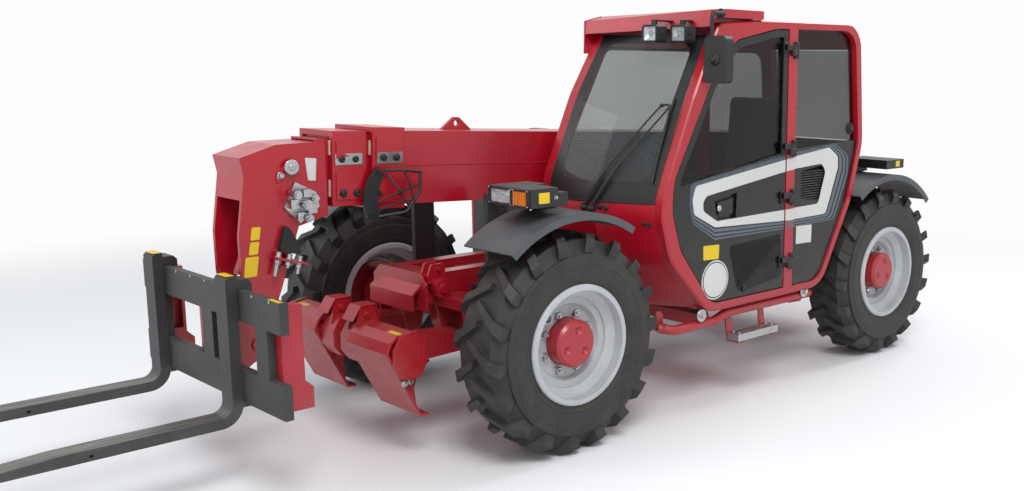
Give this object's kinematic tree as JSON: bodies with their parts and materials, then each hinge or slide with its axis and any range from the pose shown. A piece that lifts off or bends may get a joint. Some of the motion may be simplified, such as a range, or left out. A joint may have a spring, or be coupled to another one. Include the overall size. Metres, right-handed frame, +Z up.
{
  "type": "telehandler",
  "caption": "Compact telehandler with a side cab, telescopic boom, pallet forks on a tilting carriage, steered wheels and front stabilisers.",
  "frame": {"origin": "on the ground, midway between the counterweight's back face and the fork tips, on the machine's centre line", "axes": "+X forwards towards the fork tips, +Y to the machine's left, +Z up"},
  "size_m": [5.61, 2.11, 2.055],
  "materials": {
    "amber_lens": "clear moulded amber",
    "black_panel": "moulded",
    "cast_metal": "cast and painted",
    "chrome_rod": "hard chrome",
    "dark_steel": "satin black-grey paint",
    "fender_grey": "moulded",
    "lamp_glass": "clear",
    "red_paint": "gloss machine enamel",
    "rim_silver": "silver wheel paint",
    "rubber_black": "moulded rubber",
    "seat_cover": "woven seat cover",
    "tinted_glass": "clear tinted",
    "tread_aluminium": "pressed sheet",
    "tyre_rubber": "moulded rubber",
    "zinc_steel": "zinc plated"
  },
  "bodies": {
    "chassis": {"chassis": "red_paint", "cab_supports": "red_paint", "fender_brackets": "dark_steel", "cab_mounts": "rubber_black", "axle_beams": "red_paint", "counterweight": "red_paint", "engine_block": "cast_metal", "engine_pod": "dark_steel", "fenders": "fender_grey", "lamp_housings": "black_panel", "lamp_lenses": "lamp_glass", "indicator_lenses": "amber_lens", "cab_side_left": "red_paint", "cab_side_right": "red_paint", "cab_roof": "red_paint", "cab_tub": "red_paint", "cab_back": "black_panel", "cab_glass": "tinted_glass", "seat": "seat_cover", "cab_fittings": "black_panel", "steering_wheel": "black_panel", "mirror_left": "black_panel", "step_tread": "tread_aluminium"},
    "engine_lid": {"engine_lid": "red_paint", "mirror_right": "black_panel"},
    "door": {"door": "black_panel", "door_glass": "tinted_glass"},
    "boom_outer": {"boom_outer": "red_paint", "hose_guard": "black_panel"},
    "boom_middle": {"boom_middle": "red_paint"},
    "boom_inner": {"boom_inner": "red_paint", "couplings": "zinc_steel"},
    "carriage": {"hitch": "red_paint", "fork_carriage": "dark_steel", "forks": "dark_steel"},
    "lift_barrel": {"lift_barrel": "red_paint"},
    "lift_rod": {"lift_rod": "chrome_rod"},
    "tilt_barrel": {"tilt_barrel": "red_paint"},
    "tilt_rod": {"tilt_rod": "chrome_rod"},
    "stabiliser_left": {"stabiliser_left": "red_paint"},
    "stabiliser_right": {"stabiliser_right": "red_paint"},
    "knuckle_front_left": {"knuckle_front_left": "red_paint"},
    "wheel_front_left": {"tyre_front_left": "tyre_rubber", "rim_front_left": "rim_silver", "hub_front_left": "red_paint"},
    "knuckle_front_right": {"knuckle_front_right": "red_paint"},
    "wheel_front_right": {"tyre_front_right": "tyre_rubber", "rim_front_right": "rim_silver", "hub_front_right": "red_paint"},
    "knuckle_rear_left": {"knuckle_rear_left": "red_paint"},
    "wheel_rear_left": {"tyre_rear_left": "tyre_rubber", "rim_rear_left": "rim_silver", "hub_rear_left": "red_paint"},
    "knuckle_rear_right": {"knuckle_rear_right": "red_paint"},
    "wheel_rear_right": {"tyre_rear_right": "tyre_rubber", "rim_rear_right": "rim_silver", "hub_rear_right": "red_paint"}
  },
  "joints": [
    {"name": "boom_lift", "type": "hinge", "parent": "chassis", "child": "boom_outer", "pos_m": [-2.075, 0, 1.19], "axis": [0, -1, 0], "range_deg": [-4.5, 60]},
    {"name": "boom_extend", "type": "slide", "parent": "boom_outer", "child": "boom_middle", "axis": [0.9991, 0, 0.0419], "range_m": [0, 1.15]},
    {"name": "boom_extend_inner", "type": "slide", "parent": "boom_middle", "child": "boom_inner", "axis": [0.9991, 0, 0.0419], "range_m": [0, 1.15]},
    {"name": "carriage_tilt", "type": "hinge", "parent": "boom_inner", "child": "carriage", "pos_m": [1.415, 0, 0.585], "axis": [0, 1, 0], "range_deg": [-12, 100]},
    {"name": "lift_barrel_swing", "type": "hinge", "parent": "chassis", "child": "lift_barrel", "pos_m": [-1.675, 0, 0.69], "axis": [0, -1, 0], "range_deg": [-20, 80]},
    {"name": "lift_rod_slide", "type": "slide", "parent": "lift_barrel", "child": "lift_rod", "axis": [0.963, 0, 0.2695], "range_m": [-0.12, 0.75]},
    {"name": "tilt_barrel_swing", "type": "hinge", "parent": "boom_inner", "child": "tilt_barrel", "pos_m": [1.22, 0, 1.33], "axis": [0, -1, 0], "range_deg": [-10, 20]},
    {"name": "tilt_rod_slide", "type": "slide", "parent": "tilt_barrel", "child": "tilt_rod", "axis": [0.3465, 0, -0.9381], "range_m": [-0.06, 0.32]},
    {"name": "door_swing", "type": "hinge", "parent": "chassis", "child": "door", "pos_m": [-1.27, 0.918, 0], "axis": [0, 0, 1], "range_deg": [0, 95]},
    {"name": "lid_swing", "type": "hinge", "parent": "chassis", "child": "engine_lid", "pos_m": [0, -0.25, 1.116], "axis": [-1, 0, 0], "range_deg": [0, 70]},
    {"name": "stabiliser_left_swing", "type": "hinge", "parent": "chassis", "child": "stabiliser_left", "pos_m": [0.45, 0, 0.47], "axis": [0, 1, 0], "range_deg": [0, 62]},
    {"name": "stabiliser_right_swing", "type": "hinge", "parent": "chassis", "child": "stabiliser_right", "pos_m": [0.45, 0, 0.47], "axis": [0, 1, 0], "range_deg": [0, 62]},
    {"name": "steer_front_left", "type": "hinge", "parent": "chassis", "child": "knuckle_front_left", "pos_m": [0.275, 0.621, 0.515], "axis": [0, 0, 1], "range_deg": [-28, 28]},
    {"name": "roll_front_left", "type": "hinge", "parent": "knuckle_front_left", "child": "wheel_front_left", "pos_m": [0.275, 0.791, 0.515], "axis": [0, 1, 0], "continuous": true},
    {"name": "steer_front_right", "type": "hinge", "parent": "chassis", "child": "knuckle_front_right", "pos_m": [0.275, -0.621, 0.515], "axis": [0, 0, 1], "range_deg": [-28, 28]},
    {"name": "roll_front_right", "type": "hinge", "parent": "knuckle_front_right", "child": "wheel_front_right", "pos_m": [0.275, -0.791, 0.515], "axis": [0, 1, 0], "continuous": true},
    {"name": "steer_rear_left", "type": "hinge", "parent": "chassis", "child": "knuckle_rear_left", "pos_m": [-2.255, 0.621, 0.515], "axis": [0, 0, 1], "range_deg": [-28, 28]},
    {"name": "roll_rear_left", "type": "hinge", "parent": "knuckle_rear_left", "child": "wheel_rear_left", "pos_m": [-2.255, 0.791, 0.515], "axis": [0, 1, 0], "continuous": true},
    {"name": "steer_rear_right", "type": "hinge", "parent": "chassis", "child": "knuckle_rear_right", "pos_m": [-2.255, -0.621, 0.515], "axis": [0, 0, 1], "range_deg": [-28, 28]},
    {"name": "roll_rear_right", "type": "hinge", "parent": "knuckle_rear_right", "child": "wheel_rear_right", "pos_m": [-2.255, -0.791, 0.515], "axis": [0, 1, 0], "continuous": true}
  ],
  "couplings": [
    {"joint": "boom_extend_inner", "follows": "boom_extend", "ratio": 1},
    {"joint": "lift_barrel_swing", "follows": "boom_lift", "ratio": 0.956},
    {"joint": "lift_rod_slide", "follows": "boom_lift", "m_per_rad": 0.6086},
    {"joint": "tilt_barrel_swing", "follows": "carriage_tilt", "ratio": 0.085},
    {"joint": "tilt_rod_slide", "follows": "carriage_tilt", "m_per_rad": 0.1623},
    {"joint": "steer_front_right", "follows": "steer_front_left", "ratio": 1},
    {"joint": "steer_rear_right", "follows": "steer_rear_left", "ratio": 1}
  ]
}
